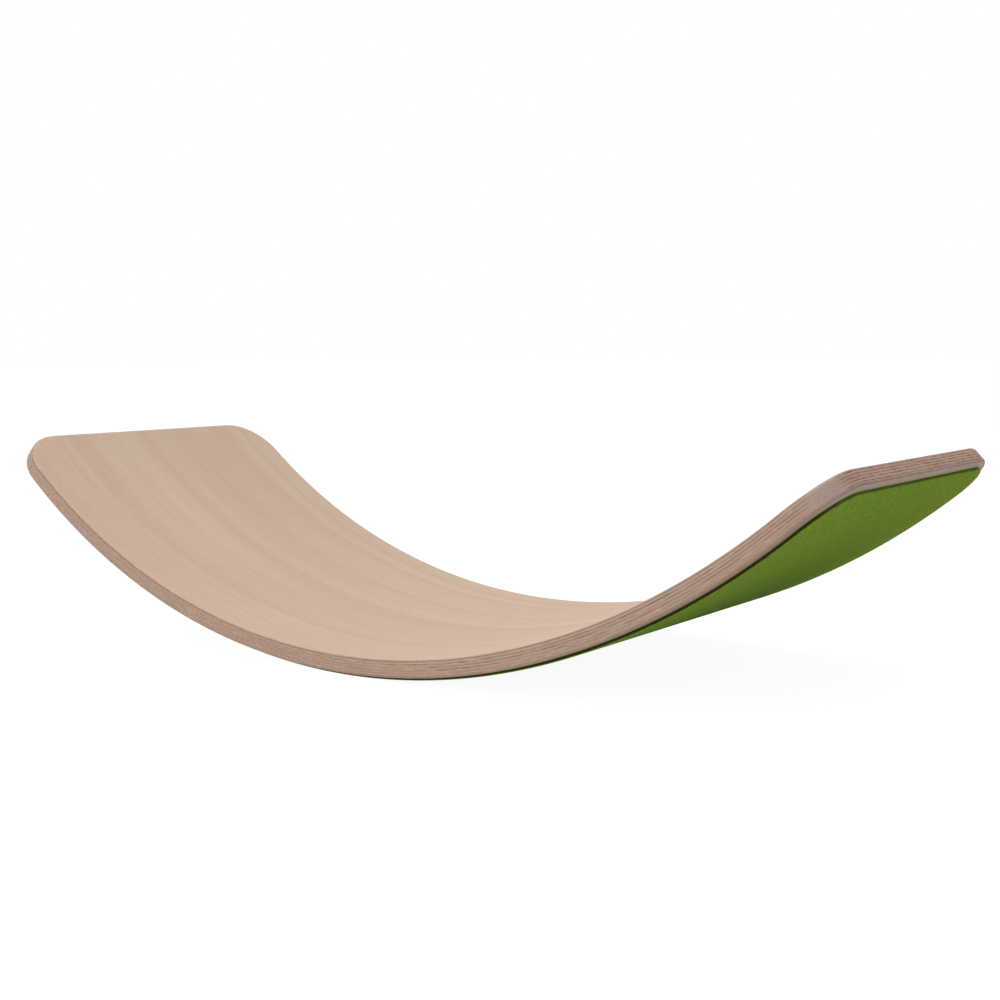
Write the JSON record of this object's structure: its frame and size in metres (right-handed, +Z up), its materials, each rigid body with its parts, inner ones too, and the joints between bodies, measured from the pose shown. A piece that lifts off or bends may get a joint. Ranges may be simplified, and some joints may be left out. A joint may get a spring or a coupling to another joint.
{
  "type": "curvy balance board",
  "caption": "Bent beech plywood balance board with rounded corners and a felt underside, to rock, sit, lie or climb on.",
  "frame": {"origin": "on the floor under the middle of the board, at the lowest line of the felt", "axes": "+X along the board, +Y across it, +Z up"},
  "size_m": [0.8008, 0.3, 0.1711],
  "materials": {
    "beech_face": "satin clear coat, grain along the board",
    "beech_long_core": "sanded edge, grain along the board",
    "beech_cross_core": "sanded edge, grain across the board",
    "green_felt": "pressed wool felt, matt"
  },
  "bodies": {
    "root": {"top_face_veneer": "beech_face", "cross_veneer_1": "beech_cross_core", "long_veneer_1": "beech_long_core", "cross_veneer_2": "beech_cross_core", "long_veneer_2": "beech_long_core", "cross_veneer_3": "beech_cross_core", "long_veneer_3": "beech_long_core", "cross_veneer_4": "beech_cross_core", "long_veneer_4": "beech_long_core", "cross_veneer_5": "beech_cross_core", "long_veneer_5": "beech_long_core", "cross_veneer_6": "beech_cross_core", "bottom_face_veneer": "beech_face", "felt_underside": "green_felt"}
  },
  "joints": []
}
